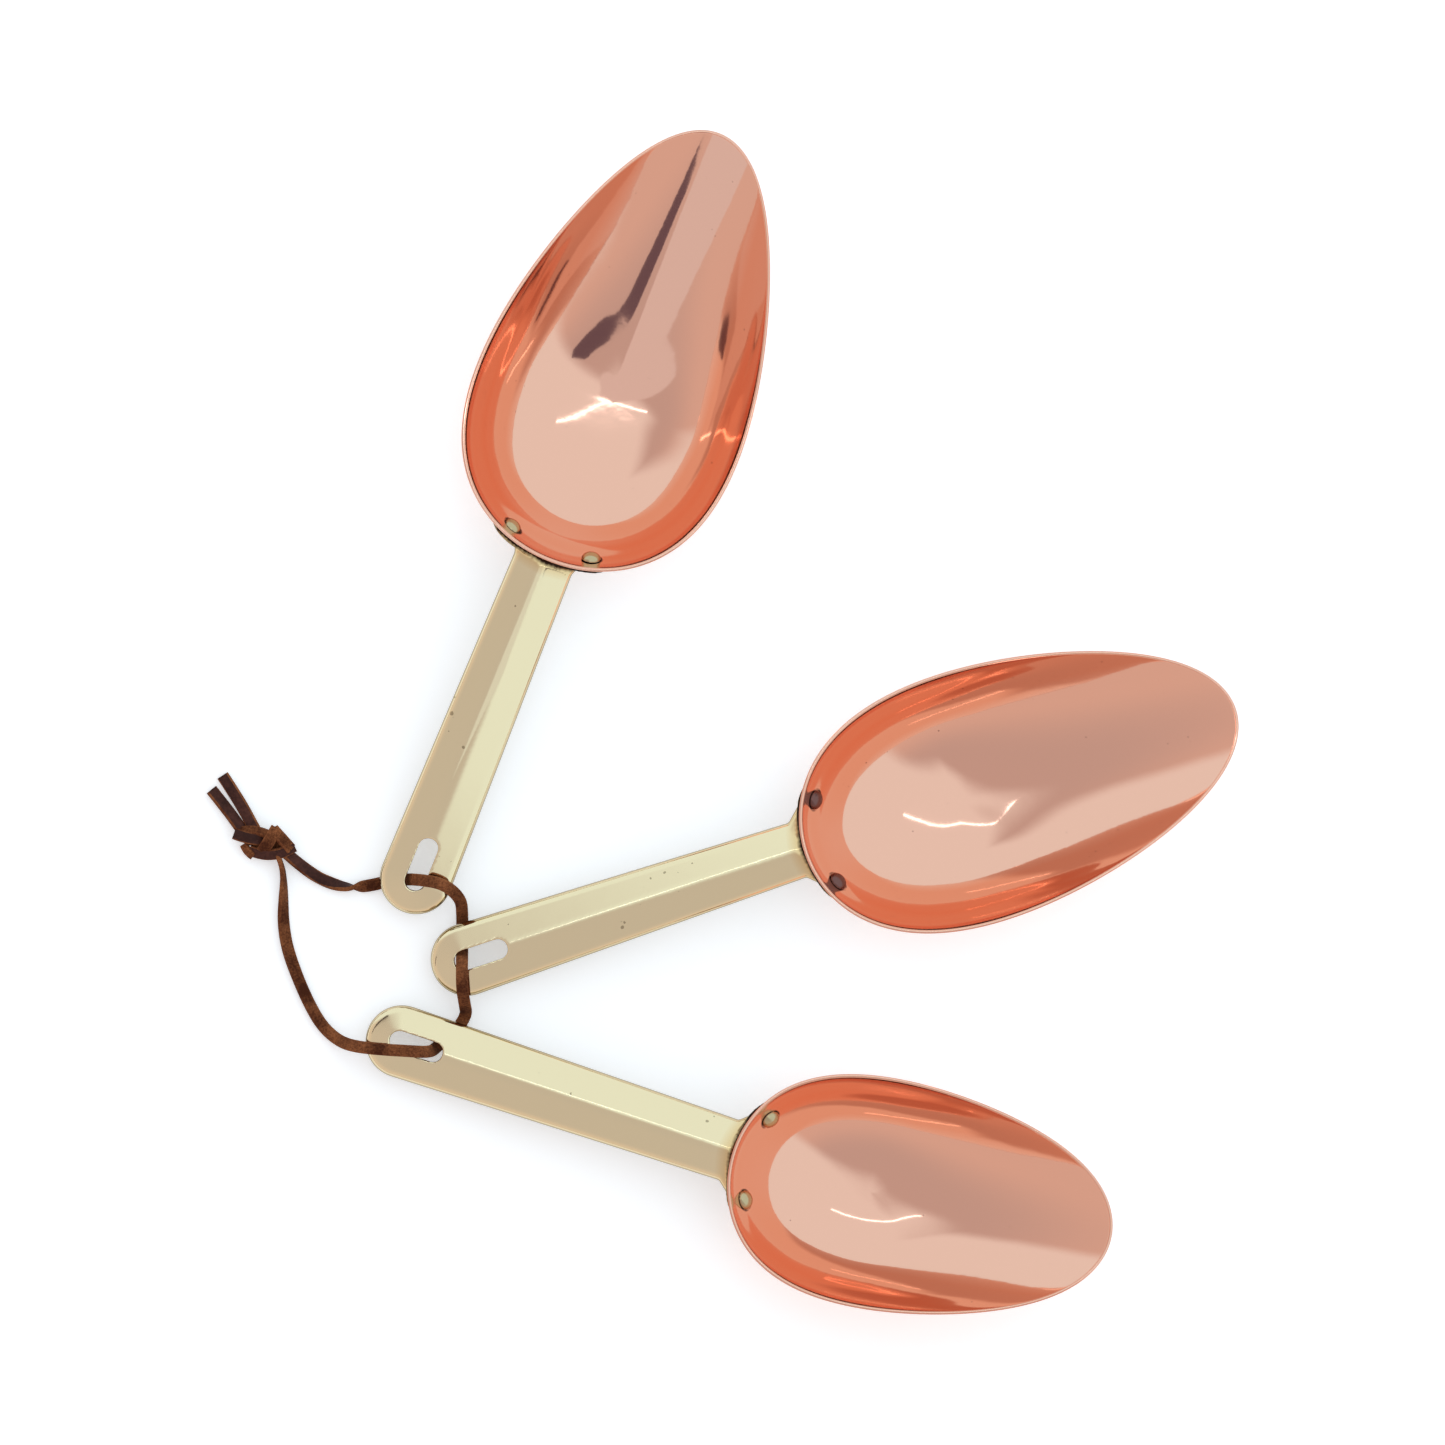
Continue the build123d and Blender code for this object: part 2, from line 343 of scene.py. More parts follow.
@dataclass(frozen=True)
class PolishedMetal:
    """Sheet metal buffed to a mirror by hand.

    The buff leaves the sheet very slightly wavy, so a reflection's edges wander, and here and
    there a speck or a stain of oxide stays in the surface. Each pair of edges says where a mark
    starts to show and where it shows in full: on the uneven pattern for specks and blotches, on
    how far the surface faces up for the haze with its painted paler sheen and for the painted
    shade on upright sides, on NEARNESS for the painted reflection of neighbouring metal and the
    painted shade in the joints.
    """

    name: str
    colour: str
    # Colour of the oxide specks and blotches, and of the painted shade on upright sides
    oxide_and_shade: str
    roughness: float = 0.07
    wave_mm: float = 16.0
    wave_height_mm: float = 0.05
    ripple_mm: float = 4.0
    ripple_height_mm: float = 0.006
    speck_mm: float = 0.9
    speck_spacing: float = 3.0
    speck_share: float = 0.10
    speck_depth: float = 0.55
    speck_edges: Range = (0.56, 0.70)
    blotch_mm: float = 14.0
    blotch_share: float = 0.0
    blotch_edges: Range = (0.60, 0.78)
    # Painted shade on the upright sides, in the stain colour, stronger the less they face up
    side_shade: float = 0.0
    side_shade_edges: Range = (0.75, 0.30)
    # Paler colour painted on steep walls as a painted sheen; wall_roughness makes them rougher too
    painted_wall_sheen: str | None = None
    wall_roughness: float = 0.14
    wall_edges: Range = (0.50, 0.15)
    # Colour painted near a neighbouring piece: a painted reflection of the copper bowl on the brass
    glow: str | None = None
    reflection_share: float = 0.75
    reflection_edges: Range = (0.35, 0.95)
    # Colour of the painted shade in the joints, where NEARNESS is high
    joint_shade: str = "#33211a"
    joint_shade_wander: float = 0.35
    joint_shade_shift: float = -0.17
    joint_shade_edges: Range = (0.76, 0.90)

    def material(self) -> bpy.types.Material:
        """Build the material.

        Returns:
            The finished node material.
        """
        made = new_material(self.name)
        tree = made.node_tree
        shader = tree.nodes["Principled BSDF"]
        shader.inputs["Metallic"].default_value = 1.0
        shader.inputs["Roughness"].default_value = self.roughness
        place = own_place(tree)
        patches = noise(tree, place, self.blotch_mm, detail=6.0, rough=0.65)
        stained = self.stained(tree, place, patches)
        colour = blend(tree, stained, linear(self.colour), linear(self.oxide_and_shade))
        if self.painted_wall_sheen:
            colour = self.hazed_with_painted_sheen(tree, colour)
        colour = self.with_painted_light(tree, colour, patches)
        tree.links.new(colour, shader.inputs["Base Color"])
        tree.links.new(self.buffed(tree, place), shader.inputs["Normal"])
        return made

    def buffed(self, tree: Tree, place: Socket) -> Socket:
        """Direction of the surface that the buff leaves, wavy with a fine ripple on it."""
        wave = noise(tree, place, self.wave_mm, detail=1.0)
        ripple = noise(tree, place, self.ripple_mm, detail=2.0)
        return bump(tree, ripple, self.ripple_height_mm, bump(tree, wave, self.wave_height_mm))

    def stained(self, tree: Tree, place: Socket, patches: Socket) -> Socket:
        """Add up the specks and the blotches of oxide.

        Args:
            tree: the material's node tree.
            place: place in the object's own space.
            patches: uneven pattern that says where the oxide stays.

        Returns:
            How much of the stain's colour shows, from 0 to 1.
        """
        cell = per_metre(self.speck_mm * self.speck_spacing)
        grains = add_node(tree, "ShaderNodeTexVoronoi", inputs={"Vector": place, "Scale": cell})
        largest = self.speck_share * self.speck_spacing
        size = rescale(tree, patches, self.speck_edges, (0.0, largest))
        specks = calculate(tree, "LESS_THAN", grains.outputs["Distance"], size)
        blotches = rescale(tree, patches, self.blotch_edges, (0.0, self.blotch_share))
        return calculate(
            tree, "MAXIMUM", calculate(tree, "MULTIPLY", specks, self.speck_depth), blotches
        )

    def hazed_with_painted_sheen(self, tree: Tree, colour: Socket) -> Socket:
        """Make steep walls rougher, where the buff only skims, and paint them paler as a painted
        sheen.

        Args:
            tree: the material's node tree, whose shader gets the haze's roughness.
            colour: colour of the buffed metal.

        Returns:
            Colour with the painted paler sheen on the walls.
        """
        wall = rescale(tree, calculate(tree, "ABSOLUTE", facing_up(tree)), self.wall_edges)
        rough = rescale(tree, wall, (0.0, 1.0), (self.roughness, self.wall_roughness))
        tree.links.new(rough, tree.nodes["Principled BSDF"].inputs["Roughness"])
        # Painted sheen: the steep walls turn paler
        return blend(tree, wall, colour, linear(self.painted_wall_sheen))

    def with_painted_light(self, tree: Tree, colour: Socket, patches: Socket) -> Socket:
        """Paint in the reflection and the shade that neighbouring pieces and the surface's lean would
        give.

        Args:
            tree: the material's node tree.
            colour: colour of the buffed metal.
            patches: uneven pattern that breaks up the edge of the painted shade in the joints.

        Returns:
            Colour with a painted reflection of the neighbouring metal, painted shade on the upright
            sides, and painted shade in the joints, where the attribute NEARNESS is close to 1.
        """
        near = add_node(tree, "ShaderNodeAttribute", {"attribute_name": NEARNESS}).outputs["Fac"]
        # Painted reflection of the neighbouring copper, strongest close to it
        if self.glow:
            copper_reflection = rescale(tree, near, self.reflection_edges, (0.0, self.reflection_share))
            colour = blend(tree, copper_reflection, colour, linear(self.glow))
        # Painted shade: the upright sides darken towards the stain colour by how little they face up
        if self.side_shade:
            side = rescale(tree, facing_up(tree), self.side_shade_edges, (0.0, self.side_shade))
            colour = blend(tree, side, colour, linear(self.oxide_and_shade))
        # Painted shade in the joints, its edge broken up by the uneven patches
        uneven = calculate(tree, "MULTIPLY_ADD", patches, self.joint_shade_wander, self.joint_shade_shift)
        in_joint_shade = rescale(tree, calculate(tree, "ADD", near, uneven), self.joint_shade_edges)
        return blend(tree, in_joint_shade, colour, linear(self.joint_shade))


@dataclass(frozen=True)
class Suede:
    """Split leather lace, dyed dark brown.

    The flesh side is brushed to a short dull nap whose fibres catch the light as fine flecks.
    The grain side is smoother, darker and a little waxy.
    """

    name: str
    colour: str
    fleck: str
    roughness: float = 0.95
    sheen: float = 0.15
    fibre_mm: float = 0.6
    fibre_height_mm: float = 0.12
    mottle_mm: float = 2.5
    fleck_edges: Range = (0.16, 0.42)

    def material(self) -> bpy.types.Material:
        """Build the material.

        Returns:
            The finished node material.
        """
        made = new_material(self.name)
        tree = made.node_tree
        shader = tree.nodes["Principled BSDF"]
        shader.inputs["Specular IOR Level"].default_value = self.sheen
        shader.inputs["Roughness"].default_value = self.roughness
        place = own_place(tree)
        fibres = noise(tree, place, self.fibre_mm, detail=4.0, rough=0.7)
        mottle = noise(tree, place, self.mottle_mm, detail=3.0)
        flecks = rescale(tree, calculate(tree, "MULTIPLY", fibres, mottle), self.fleck_edges)
        colour = blend(tree, flecks, linear(self.colour), linear(self.fleck))
        tree.links.new(colour, shader.inputs["Base Color"])
        tree.links.new(bump(tree, fibres, self.fibre_height_mm), shader.inputs["Normal"])
        return made


class Finish(Enum):
    """The set's finishes."""

    COPPER = PolishedMetal(
        "polished copper",
        "#f8bea4",
        "#6a3a2a",
        roughness=0.06,
        wave_mm=14.0,
        ripple_height_mm=0.010,
        speck_share=0.05,
        # Steep walls painted paler, a painted sheen, and made rougher
        painted_wall_sheen="#fad8c8",
    )
    BRASS = PolishedMetal(
        "polished pale brass",
        "#f9e4b9",
        "#6b5a3a",
        roughness=0.10,
        wave_mm=22.0,
        # Painted shade on the handle's upright edges
        side_shade=0.8,
        # Painted reflection of the copper bowl on the handle's neck
        glow="#e8b468",
    )
    OLD_BRASS = PolishedMetal(
        "aged brass rivet",
        "#c9b48c",
        "#3b2f20",
        roughness=0.22,
        wave_mm=5.0,
        ripple_mm=1.2,
        blotch_mm=3.0,
        blotch_share=0.7,
    )
    DARK_COPPER = PolishedMetal(
        "oxidised copper rivet",
        "#7a5650",
        "#2a1f22",
        roughness=0.25,
        wave_mm=5.0,
        ripple_mm=1.2,
        blotch_mm=3.0,
        blotch_share=0.8,
    )
    SUEDE = Suede("dark brown suede", "#4a2312", "#a0603a", mottle_mm=7.0)
    GRAIN = Suede(
        "lace grain side",
        "#3a1e18",
        "#5c342a",
        roughness=0.6,
        fibre_mm=1.2,
        fibre_height_mm=0.03,
        mottle_mm=9.0,
    )
    CUT_SUEDE = Suede("lace cut edge", "#5e2f1a", "#a8683f", mottle_mm=7.0)

    def add_to(self, piece: bpy.types.Object) -> None:
        """Add this finish to the piece's own, built once and then shared."""
        made = bpy.data.materials.get(self.value.name) or self.value.material()
        piece.data.materials.append(made)

    def dress(self, piece: bpy.types.Object) -> None:
        """Give the whole piece this finish."""
        piece.data.materials.clear()
        self.add_to(piece)


# ----------------------------------------------------------
# Scoops
# ----------------------------------------------------------


@dataclass
class Bowl:
    """Egg-shaped bowl of one scoop, pressed from sheet copper, sizes in millimetres.

    Its own frame has the rim in the plane z = 0, the rear of the rim at the origin and the
    pouring tip along +X.
    """

    length: float
    middle_half_width: float
    egg: float
    bluntness: float
    depth: float
    deepest_at: float
    rear_curve: tuple[float, float]
    side_curve: tuple[float, float]
    tip_curve: tuple[float, float] = (1.8, 1.0)
    belly: float = 0.0
    sheet: float = 1.0
    rim_round: float = 0.35
    rim_steps: int = 9
    around: int = 240
    down: int = 72
    first_share: float = 0.985
    last_share: float = 0.012

    def wall(self, share: float, grown: float) -> Points:
        """Ring of the wall.

        Args:
            share: 1 at the rim, 0 at the deepest point.
            grown: how far the surface lies outside the bowl's outside, in millimetres.

        Returns:
            One point for each step around the bowl.
        """
        turn = np.linspace(0, 2 * math.pi, self.around, endpoint=False)
        along, across = np.cos(turn), np.sin(turn)
        spread = 1 + self.egg * along + self.bluntness * along**2

        def rim(extra: float) -> tuple[Points, Points]:
            """Rim outline moved outwards by extra millimetres."""
            x = self.length / 2 - (self.length / 2 + extra) * along
            return x, (self.middle_half_width + extra) * across * spread

        x, y = rim(0.0)
        rearward = (self.deepest_at - x) / np.hypot(x - self.deepest_at, y)
        rear, tip, side = (np.array(c) for c in (self.rear_curve, self.tip_curve, self.side_curve))
        ends = np.where(rearward[:, None] > 0, rear, tip)
        curve = side + (ends - side) * (rearward**2)[:, None]
        x, y = rim(grown)
        sink = (1 - share ** curve[:, 0]) ** curve[:, 1]
        dish = 1 - share**2
        sink += self.belly * dish**2 * (dish - sink)
        return np.stack(
            [
                self.deepest_at + share * (x - self.deepest_at),
                share * y,
                -sink * (self.depth + grown),
            ],
            axis=1,
        )

    def surface_rings(self, grown: float) -> list[Points]:
        """Rings of one side of the sheet, from just under the rim to the deepest point."""
        steps = np.linspace(self.first_share, self.last_share, self.down)
        return [self.wall(math.sin(step * math.pi / 2), grown) for step in steps]

    def rim_rings(self) -> list[Points]:
        """Rings over the rounded edge of the sheet, from the inside to the outside."""
        rings = []
        for lean in np.linspace(0, math.pi, self.rim_steps):
            inwards = -self.sheet / 2 * (1 + math.cos(lean))
            ring = self.wall(1.0, inwards)
            ring[:, 2] = -self.rim_round * (1 - math.sin(lean))
            rings.append(ring)
        return rings

    def build(self, name: str, heading: float, pitch: float, node: str) -> bpy.types.Object:
        """Make the bowl where the frame's own bowl lies.

        Args:
            name: name of the new object.
            heading: direction of the pouring tip, in degrees from +X.
            pitch: how far the tip is tipped up, in degrees.
            node: the frame's node that it stands for.

        Returns:
            The new object, in the row frame.
        """
        inside = self.surface_rings(-self.sheet)
        outside = self.surface_rings(0.0)
        rings = inside[::-1] + self.rim_rings() + outside
        points = np.concatenate(rings)
        faces = strip_faces(len(rings), self.around)
        inner_pole, outer_pole = len(points), len(points) + 1
        poles = [[self.deepest_at, 0, self.sheet - self.depth], [self.deepest_at, 0, -self.depth]]
        points = np.concatenate([points, np.array(poles)])
        last = (len(rings) - 1) * self.around
        for i in range(self.around):
            beside = (i + 1) % self.around
            faces.append((inner_pole, beside, i))
            faces.append((outer_pole, last + i, last + beside))
        points = turned(turned(points, "Y", -pitch), "Z", heading) * MM
        low, high = (np.array(corner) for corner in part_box(node))
        points += (low + high) / 2 - (points.min(axis=0) + points.max(axis=0)) / 2
        return new_mesh_object(name, points, faces)


@dataclass
class Handle:
    """Brass handle of one scoop, with the soft edges that pressing and buffing leave."""

    node: str
    voxel_mm: float = 0.28
    rounds: int = 14
    crown_rounds: int = 260
    crown_rise: float = 0.88
    crown_margin_mm: float = 1.6
    steep_rise: float = 0.5

    def build(self, name: str) -> bpy.types.Object:
        """Make the softened handle from the frame's own.

        Args:
            name: name of the new object.

        Returns:
            The new object, in the row frame.
        """
        blank = new_object(name + " blank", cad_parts[self.node].data.copy())
        remesh = blank.modifiers.new("even", "REMESH")
        remesh.mode = "VOXEL"
        remesh.voxel_size = self.voxel_mm * MM
        remesh.use_smooth_shade = True
        blank = new_object("crown blank", self.softened(blank, self.rounds))
        blank.vertex_groups.new(name=CROWN).add(self.crown(blank.data), 1.0, "REPLACE")
        mesh = self.softened(blank, self.crown_rounds, CROWN)
        mesh.name = name
        return new_object(name, mesh)

    @staticmethod
    def softened(blank: bpy.types.Object, rounds: int, group: str = "") -> bpy.types.Mesh:
        """Smooth a blank and take it away.

        Args:
            blank: the blank, with any other modifiers that it needs first.
            rounds: how often it is smoothed.
            group: the group of vertices that is smoothed, or nothing for all of them.

        Returns:
            The blank's smoothed mesh.
        """
        soften = blank.modifiers.new("soften", "SMOOTH")
        soften.factor = SMOOTHING
        soften.iterations = rounds
        soften.vertex_group = group
        shaped = blank.evaluated_get(bpy.context.evaluated_depsgraph_get())
        mesh = bpy.data.meshes.new_from_object(shaped)
        bpy.data.objects.remove(blank)
        return mesh

    def crown(self, mesh: bpy.types.Mesh) -> list[int]:
        """Vertices of the ridge along the top, clear of the edges of the handle and its slot."""
        normals = np.empty(len(mesh.vertices) * 3, dtype=np.float32)
        mesh.vertex_normals.foreach_get("vector", normals)
        rise, places = normals[2::3], corners_of(mesh)
        edges = search_tree(places[rise < self.steep_rise])
        margin = self.crown_margin_mm * MM
        upward = np.flatnonzero(rise > self.crown_rise)
        return [int(number) for number in upward if edges.find(places[number])[2] > margin]


# How far a rivet's and a bowl's neighbourhood reaches, for the painted joint shade and the painted
# reflection
BOWL_REACH_MM = 8.0
RIVET_REACH_MM = 3.0


@dataclass
class Scoop:
    """One measuring scoop: bowl, handle and two rivets."""

    name: str
    bowl: Bowl
    heading: float
    pitch: float
    rivets: Finish

    def build(self) -> None:
        """Build the scoop's bowl and handle, dress them and the rivets, and let the bowl and handle
        ride on its body.
        """
        body = f"{self.name}_scoop"
        bowl = self.bowl.build(f"{self.name}_spun_bowl", self.heading, self.pitch, f"{self.name}_bowl")
        handle = Handle(f"{self.name}_handle").build(f"{self.name}_pressed_handle")
        for piece, node, finish, slot in (
            (bowl, "bowl", Finish.COPPER, "copper"),
            (handle, "handle", Finish.BRASS, "brass"),
        ):
            finish.dress(piece)
            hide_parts(f"{self.name}_{node}")
            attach(piece, body)
            log.info("%s: %d faces", piece.name, len(piece.data.polygons))
        rivets = [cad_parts[f"{self.name}_rivet_{side}"] for side in ("left", "right")]
        for rivet in rivets:
            rivet.data.shade_smooth()
            self.rivets.dress(rivet)
        # NEARNESS drives the painted reflection and the painted shade at the joints
        mark_nearness(handle, corners_of(bowl.data), BOWL_REACH_MM)
        heads = np.concatenate([corners_of(rivet.data) for rivet in rivets])
        mark_nearness(bowl, heads, RIVET_REACH_MM)


# ----------------------------------------------------------
# Lace
# ----------------------------------------------------------


LACE_WIDTH_MM = 3.7
SIDES = (Finish.SUEDE, Finish.GRAIN, Finish.CUT_SUEDE)
FLESH_SIDE, GRAIN_SIDE, CUT_EDGE = range(len(SIDES))

UP: Place = (0.0, 0.0, 1.0)
DOWN: Place = (0.0, 0.0, -1.0)


# Corners of the cross-section's outline at which the run over each side starts
FLESH_CORNER = 2
GRAIN_CORNER = 8


@dataclass
class Strip:
    """A stretch of the flat lace along a smooth route, sizes in millimetres."""

    route: Sequence[Place]
    facing: Sequence[Place]
    width: float = LACE_WIDTH_MM
    thickness: float = 1.5
    corner: float = 0.35
    resolution: int = 10

    def centreline(self) -> Points:
        """Points of the smooth curve through the route's runs, in metres."""
        curve = bpy.data.curves.new("lace line", "CURVE")
        curve.dimensions = "3D"
        curve.resolution_u = self.resolution
        spline = curve.splines.new("NURBS")
        spline.points.add(len(self.route) - 1)
        for point, place in zip(spline.points, self.route):
            point.co = (*(c * MM for c in place), 1.0)
        spline.order_u = 3
        spline.use_endpoint_u = True
        holder = bpy.data.objects.new(curve.name, curve)
        mesh = bpy.data.meshes.new_from_object(holder)
        line = np.array([tuple(v.co) for v in mesh.vertices])
        bpy.data.objects.remove(holder)
        return line

    def frames(self, line: Points) -> tuple[Points, Points]:
        """Sideways and facing directions along the line.

        Args:
            line: points of the centreline.

        Returns:
            Unit vectors across the strip's width, and unit vectors out of its flesh side.
        """
        along = np.gradient(line, axis=0)
        along /= np.linalg.norm(along, axis=1)[:, None]
        places = np.array(self.route) * MM
        wanted = np.array(self.facing, dtype=float)
        travelled = np.concatenate([[0], np.cumsum(np.linalg.norm(np.diff(line, axis=0), axis=1))])
        marks = [travelled[np.argmin(np.linalg.norm(line - place, axis=1))] for place in places]
        marks[0], marks[-1] = travelled[0], travelled[-1]
        marks = np.maximum.accumulate(marks)
        facing = np.stack([np.interp(travelled, marks, wanted[:, k]) for k in range(3)], axis=1)
        facing -= (facing * along).sum(axis=1)[:, None] * along
        facing /= np.linalg.norm(facing, axis=1)[:, None]
        return np.cross(along, facing), facing

    def section(self) -> Points:
        """Outline of the strip's cross-section: across, and out of its flesh side."""
        half_width, half_thickness = self.width / 2, self.thickness / 2
        outline = []
        for start, (sx, sy) in zip((0, 90, 180, 270), ((1, 1), (-1, 1), (-1, -1), (1, -1))):
            for step in (0, 45, 90):
                turn = math.radians(start + step)
                outline.append(
                    (
                        sx * (half_width - self.corner) + self.corner * math.cos(turn),
                        sy * (half_thickness - self.corner) + self.corner * math.sin(turn),
                    )
                )
        return np.array(outline) * MM

    def shape(self) -> tuple[Points, list[tuple[int, ...]], list[int], Points]:
        """Work out the strip's mesh.

        Returns:
            Vertices, faces, the place in `SIDES` of each face's finish, and the centreline.
        """
        line = self.centreline()
        across, out = self.frames(line)
        outline = self.section()
        sideways = across[:, None, :] * outline[None, :, :1]
        outwards = out[:, None, :] * outline[None, :, 1:]
        rings = line[:, None, :] + sideways + outwards
        rings[..., 2] = np.maximum(rings[..., 2], TABLE_GAP)
        count = len(outline)
        faces: list[tuple[int, ...]] = list(strip_faces(len(line), count))
        side_of = {FLESH_CORNER: FLESH_SIDE, GRAIN_CORNER: GRAIN_SIDE}
        sides = [side_of.get(face[0] % count, CUT_EDGE) for face in faces]
        faces.append(tuple(range(count)))
        last = (len(line) - 1) * count
        faces.append(tuple(range(last, last + count))[::-1])
        return rings.reshape(-1, 3), faces, sides + [CUT_EDGE, CUT_EDGE], line


def build_strips(name: str, strips: Sequence[Strip]) -> tuple[bpy.types.Object, Points]:
    """Join strips into one dressed object.

    Args:
        name: name of the object.
        strips: the strips, each with its own route.

    Returns:
        The new object, and the centreline of the last strip in metres.
    """
    points: list[Points] = []
    faces: list[tuple[int, ...]] = []
    sides: list[int] = []
    line = np.zeros((0, 3))
    for strip in strips:
        start = sum(len(p) for p in points)
        ring, quads, finishes, line = strip.shape()
        points.append(ring)
        faces += [tuple(start + corner for corner in quad) for quad in quads]
        sides += finishes
    made = new_mesh_object(name, np.concatenate(points), faces)
    for finish in SIDES:
        finish.add_to(made)
    made.data.polygons.foreach_set("material_index", sides)
    return made, line


@dataclass(frozen=True)
class Wrap:
    """One visible stretch of the knot, in millimetres from the knot's middle, on the table."""

    route: tuple[Place, ...]
    facing: tuple[Place, ...]
    width: float


@dataclass
class Lace:
    """Suede lace through the slots of all three handles, tied in a knot with two tails."""

    width: float = LACE_WIDTH_MM
    loop_route: Sequence[Place] = (
        (-155.9, -39.8, 3.2),
        (-151.0, -44.0, 1.6),
        (-145.0, -48.0, 1.4),
        (-137.7, -50.4, 1.4),
        (-131.0, -49.8, 1.4),
        (-124.9, -48.3, 1.4),
        (-120.4, -47.8, 2.4),
        (-115.8, -47.8, 15.3),
        (-107.9, -49.1, 15.0),
        (-102.8, -53.6, 10.6),
        (-102.4, -58.3, 1.9),
        (-102.4, -62.5, 1.4),
        (-102.4, -67.4, 2.2),
        (-102.5, -73.8, 14.1),
        (-102.5, -80.9, 13.2),
        (-101.6, -86.0, 8.8),
        (-101.1, -88.8, 1.8),
        (-103.9, -93.3, 1.4),
        (-110.0, -98.5, 2.4),
        (-112.0, -100.3, 13.9),
        (-118.8, -99.9, 13.6),
        (-127.4, -99.4, 12.0),
        (-135.9, -98.4, 8.8),
        (-140.4, -96.5, 2.0),
        (-145.0, -92.3, 1.4),
        (-148.9, -85.6, 1.4),
        (-152.6, -77.1, 1.4),
        (-155.6, -68.6, 1.4),
        (-156.8, -60.7, 1.4),
        (-156.7, -54.0, 1.4),
        (-156.6, -47.6, 1.6),
        (-157.3, -43.0, 2.6),
        (-159.0, -39.2, 3.4),
    )
    loop_facing: Sequence[Place] = (
        (-0.3, -0.5, -0.8),
        (-0.2, -0.3, -1.0),
        (0.0, 0.0, -1.0),
        (0.0, -0.9, -0.5),
        (0.0, -0.3, 1.0),
        *(UP,) * 17,
        (0.0, 0.2, 1.0),
        *(UP,) * 4,
        (0.35, 0.0, 1.0),
        (0.7, 0.0, 1.0),
        (1.0, 0.0, 0.7),
        (1.0, 0.0, 0.2),
        (1.0, 0.0, 0.0),
        (1.0, 0.2, 0.0),
    )
    long_tail_route: Sequence[Place] = (
        (-164.4, -34.6, 3.6),
        (-167.0, -29.6, 2.2),
        (-170.6, -23.2, 1.4),
        (-175.2, -16.2, 1.4),
    )
    long_tail_facing: Sequence[Place] = ((0.3, 0.0, -1.0),) * 4
    short_tail_route: Sequence[Place] = (
        (-167.3, -35.6, 3.4),
        (-170.4, -31.2, 2.0),
        (-174.2, -26.0, 1.4),
        (-178.6, -20.5, 1.4),
    )
    short_tail_facing: Sequence[Place] = ((-0.4, -0.3, -1.0),) * 4
    knot_wraps: Sequence[Wrap] = (
        # Core
        Wrap(((-6.0, 1.2, 1.9), (0.0, 0.2, 2.1), (6.2, -1.6, 2.0)), (UP,) * 3, 3.6),
        # Band over the top
        Wrap(
            ((-8.2, 3.4, 2.8), (-4.4, 4.0, 3.9), (0.0, 3.0, 4.6), (2.6, 1.6, 4.2)),
            ((0.0, 0.6, 0.8),) * 4,
            2.8,
        ),
        # Band at the left
        Wrap(
            ((-9.2, 2.7, 3.4), (-6.6, 1.7, 4.5), (-3.2, 1.0, 4.6), (0.2, 0.8, 3.2)),
            (DOWN,) * 4,
            3.6,
        ),
        # Turn at the lower left
        Wrap(
            ((-6.3, -0.6, 2.4), (-5.6, -2.8, 3.0), (-3.6, -4.0, 2.6)),
            ((-0.5, -0.3, 0.9), (-0.5, -0.5, 0.9), (-0.2, -0.6, 0.9)),
            2.6,
        ),
        # Band along the bottom
        Wrap(
            (
                (-4.4, -2.4, 2.4),
                (-1.6, -3.5, 3.6),
                (2.6, -3.7, 4.4),
                (6.4, -2.7, 4.6),
                (8.8, -1.2, 3.6),
            ),
            ((0.0, 0.35, -0.9),) * 5,
            3.4,
        ),
        # Band up the right
        Wrap(
            ((7.9, -2.0, 4.2), (5.8, 0.4, 5.2), (3.8, 2.6, 5.3), (2.4, 4.2, 4.4)),
            ((0.4, 0.3, 0.9),) * 4,
            3.6,
        ),
        # Band down the middle
        Wrap(
            ((3.6, 4.3, 5.2), (2.0, 1.8, 6.1), (0.5, -0.8, 5.4), (-0.8, -2.6, 4.0)),
            ((0.1, 0.5, 1.0), UP, UP, (0.0, -0.3, 1.0)),
            3.8,
        ),
    )

    def build(self) -> None:
        loop, line = build_strips("flat_lace_loop", [Strip(self.loop_route, self.loop_facing)])
        long_tail, _ = build_strips(
            "flat_lace_tail_long", [Strip(self.long_tail_route, self.long_tail_facing)]
        )
        short_tail, _ = build_strips(
            "flat_lace_tail_short", [Strip(self.short_tail_route, self.short_tail_facing)]
        )
        knot, _ = build_strips("tied_lace_knot", self.knot_strips())
        for piece, node in (
            (loop, "lace_loop"),
            (long_tail, "lace_tail_long"),
            (short_tail, "lace_tail_short"),
            (knot, "lace_knot"),
        ):
            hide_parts(node)
            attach(piece, "lace")
            log.info("%s: %d faces", piece.name, len(piece.data.polygons))

    def knot_strips(self) -> list[Strip]:
        """Wraps of the overhand knot, drawn tight round each other."""
        low, high = (np.array(corner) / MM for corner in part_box("lace_knot"))
        across, along, _ = (low + high) / 2
        return [
            Strip(
                [(x + across, y + along, z) for x, y, z in wrap.route],
                wrap.facing,
                width=wrap.width,
            )
            for wrap in self.knot_wraps
        ]


# ----------------------------------------------------------
# Studio
# ----------------------------------------------------------


def smooth_step(tree: Tree, value: Socket, edge_mm: float, blur_mm: float) -> Socket:
    """Value that rises softly from 0 to 1 as a distance in metres passes an edge.

    Args:
        tree: node tree that gets the node.
        value: the distance.
        edge_mm: where the rise has its middle.
        blur_mm: how far from its middle the rise starts and ends.

    Returns:
        The rising value.
    """
    edges = ((edge_mm - blur_mm) * MM, (edge_mm + blur_mm) * MM)
    return rescale(tree, value, edges, ease=True)


def hide_from_camera(thing: bpy.types.Object) -> None:
    """Let a thing of the studio show in the polished metal alone."""
    thing.visible_camera = False
    thing.visible_shadow = False


